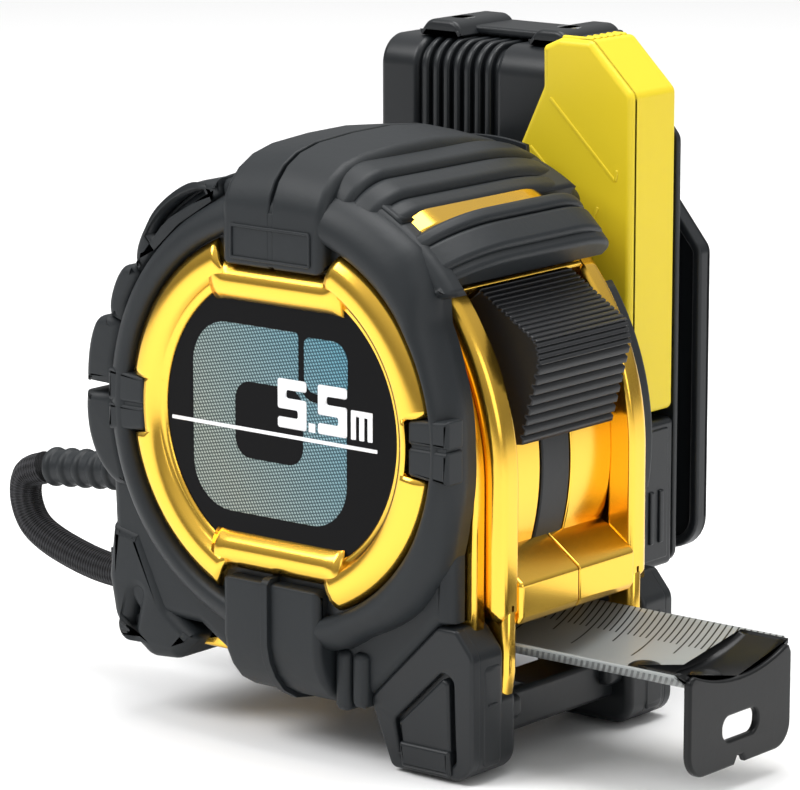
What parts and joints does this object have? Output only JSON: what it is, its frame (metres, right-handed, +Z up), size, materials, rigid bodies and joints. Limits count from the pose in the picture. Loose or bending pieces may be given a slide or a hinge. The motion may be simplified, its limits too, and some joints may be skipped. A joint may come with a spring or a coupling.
{
  "type": "tape measure",
  "caption": "Pocket tape measure with a gold case in a rubber boot, front thumb lock, toothed front foot, wrist strap and a belt holder with a release lever.",
  "frame": {"origin": "under the middle of the tape's box without its cord, at the height of the foot's underside", "axes": "+X the way the blade comes out, -Y the label side, +Y the belt holder side, +Z up"},
  "size_m": [0.127, 0.069, 0.0916],
  "materials": {
    "gold": "mirror gold plating on plastic",
    "rubber": "soft black elastomer",
    "label": "glossy black label",
    "blade": "coated steel ribbon",
    "spring": "spring steel",
    "yellow": "moulded yellow plastic",
    "nylon": "braided nylon cord",
    "steel": "bright steel",
    "black": "moulded black plastic"
  },
  "bodies": {
    "case": {"case_left": "gold", "case_right": "gold", "case_screw_rear_top": "steel", "case_screw_rear_bottom": "steel", "case_screw_front_top": "steel", "case_screw_front_middle": "steel", "label_ring": "gold", "label_plate": "label", "bumper": "rubber", "centre_post": "steel", "front_foot": "black", "dock_plate": "black", "dock_screw_low": "steel", "dock_screw_high": "steel", "strap_pin": "steel", "strap_sleeve": "rubber", "strap": "nylon"},
    "reel": {"reel_drum": "black", "reel_cover": "black", "blade_coil": "blade", "power_spring": "spring"},
    "blade": {"blade_strip": "blade", "hook_rivet_front": "steel", "hook_rivet_rear": "steel"},
    "hook": {"hook": "black"},
    "lock": {"lock_button": "black", "lock_band": "black", "brake_shoe": "rubber"},
    "holder": {"holder_body": "black", "clip_bridge": "black", "bridge_screw_back": "steel", "bridge_screw_front": "steel", "lever_pin": "steel", "lever_spring": "spring"},
    "clip": {"belt_clip": "black"},
    "lever": {"release_lever": "yellow"}
  },
  "joints": [
    {"name": "blade_slide", "type": "slide", "parent": "case", "child": "blade", "axis": [1, 0, 0], "range_m": [-0.02, 0.022]},
    {"name": "reel_turn", "type": "hinge", "parent": "case", "child": "reel", "pos_m": [-0.00279, -0.00805, 0.0415], "axis": [0, 1, 0], "range_deg": [-56, 52]},
    {"name": "hook_play", "type": "slide", "parent": "blade", "child": "hook", "axis": [1, 0, 0], "range_m": [-0.0006, 0.0006]},
    {"name": "lock_turn", "type": "hinge", "parent": "case", "child": "lock", "pos_m": [-0.00679, -0.00805, 0.0385], "axis": [0, 1, 0], "range_deg": [0, 12]},
    {"name": "holder_dock", "type": "slide", "parent": "case", "child": "holder", "axis": [0, 1, 0], "range_m": [0, 0.01]},
    {"name": "lever_turn", "type": "hinge", "parent": "holder", "child": "lever", "pos_m": [0.01721, 0.02195, 0.0445], "axis": [0, -1, 0], "range_deg": [0, 3.5], "stiffness_Nm_per_rad": 0.05, "springref_deg": -8.59},
    {"name": "clip_flex", "type": "hinge", "parent": "holder", "child": "clip", "pos_m": [0.00121, 0.03365, 0.0888], "axis": [1, 0, 0], "range_deg": [0, 6], "stiffness_Nm_per_rad": 0.6, "springref_deg": -5.73}
  ],
  "couplings": [
    {"joint": "reel_turn", "follows": "blade_slide", "rad_per_m": -42.919}
  ]
}
